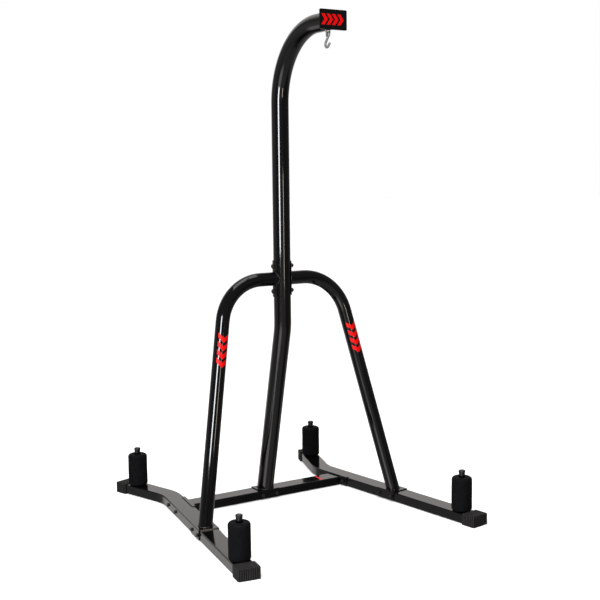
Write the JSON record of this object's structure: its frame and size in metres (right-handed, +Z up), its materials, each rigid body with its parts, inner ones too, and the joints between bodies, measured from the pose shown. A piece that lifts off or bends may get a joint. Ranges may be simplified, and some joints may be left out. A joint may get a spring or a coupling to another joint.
{
  "type": "heavy bag stand",
  "caption": "Free-standing steel stand for a hanging heavy bag: curved mast and arm with a hook, hoop legs, splayed skids and foam-covered weight pegs.",
  "frame": {"origin": "centre of the footprint's bounding box, on the floor; the mast's axis is 15.5 mm behind it", "axes": "+Z up; +X towards the right skid; the arm and hook reach towards -Y, which is the front"},
  "size_m": [1.2066, 1.3619, 2.142],
  "materials": {
    "gloss_black": "gloss powder coat",
    "plate_black": "satin powder coat",
    "fastener_black": "black zinc plate",
    "zinc": "bright zinc plate",
    "bare_steel": "oiled mill finish",
    "cap_rubber": "moulded matte",
    "plug_plastic": "moulded satin",
    "foam": "closed-cell foam skin"
  },
  "bodies": {
    "stand": {"clamp_bolts": "fastener_black", "clamp_nuts": "fastener_black", "clamp_sleeve": "gloss_black", "clamp_washers": "fastener_black", "cross_tube": "gloss_black", "cross_tube_bolts": "fastener_black", "cross_tube_flange_left": "gloss_black", "cross_tube_flange_right": "gloss_black", "cross_tube_nuts": "fastener_black", "cross_tube_washers": "fastener_black", "end_cap_back_left": "cap_rubber", "end_cap_back_right": "cap_rubber", "end_cap_front_left": "cap_rubber", "end_cap_front_right": "cap_rubber", "end_plate": "plate_black", "hook_staple": "zinc", "joint_sleeve": "bare_steel", "leg_left": "gloss_black", "leg_right": "gloss_black", "leg_saddle_bolts": "fastener_black", "leg_saddle_left": "gloss_black", "leg_saddle_nuts": "fastener_black", "leg_saddle_right": "gloss_black", "leg_saddle_washers": "fastener_black", "mast": "gloss_black", "peg_plug_back_left": "plug_plastic", "peg_plug_back_right": "plug_plastic", "peg_plug_front_left": "plug_plastic", "peg_plug_front_right": "plug_plastic", "peg_post_back_left": "gloss_black", "peg_post_back_right": "gloss_black", "peg_post_front_left": "gloss_black", "peg_post_front_right": "gloss_black", "skid_left": "gloss_black", "skid_right": "gloss_black", "upright": "gloss_black", "upright_saddle": "gloss_black", "upright_saddle_bolts": "fastener_black", "upright_saddle_nuts": "fastener_black", "upright_saddle_washers": "fastener_black"},
    "hook": {"hook": "zinc"},
    "foam_sleeve_front_left": {"foam_sleeve_front_left": "foam"},
    "foam_sleeve_front_right": {"foam_sleeve_front_right": "foam"},
    "foam_sleeve_back_left": {"foam_sleeve_back_left": "foam"},
    "foam_sleeve_back_right": {"foam_sleeve_back_right": "foam"}
  },
  "joints": [
    {"name": "hook_swing", "type": "hinge", "parent": "stand", "child": "hook", "pos_m": [0, -0.3715, 2.0498], "axis": [1, 0, 0], "range_deg": [-50, 50]},
    {"name": "foam_front_left_slide", "type": "slide", "parent": "stand", "child": "foam_sleeve_front_left", "axis": [0, 0, 1], "range_m": [0, 0.019]},
    {"name": "foam_front_right_slide", "type": "slide", "parent": "stand", "child": "foam_sleeve_front_right", "axis": [0, 0, 1], "range_m": [0, 0.019]},
    {"name": "foam_back_left_slide", "type": "slide", "parent": "stand", "child": "foam_sleeve_back_left", "axis": [0, 0, 1], "range_m": [0, 0.019]},
    {"name": "foam_back_right_slide", "type": "slide", "parent": "stand", "child": "foam_sleeve_back_right", "axis": [0, 0, 1], "range_m": [0, 0.019]}
  ]
}
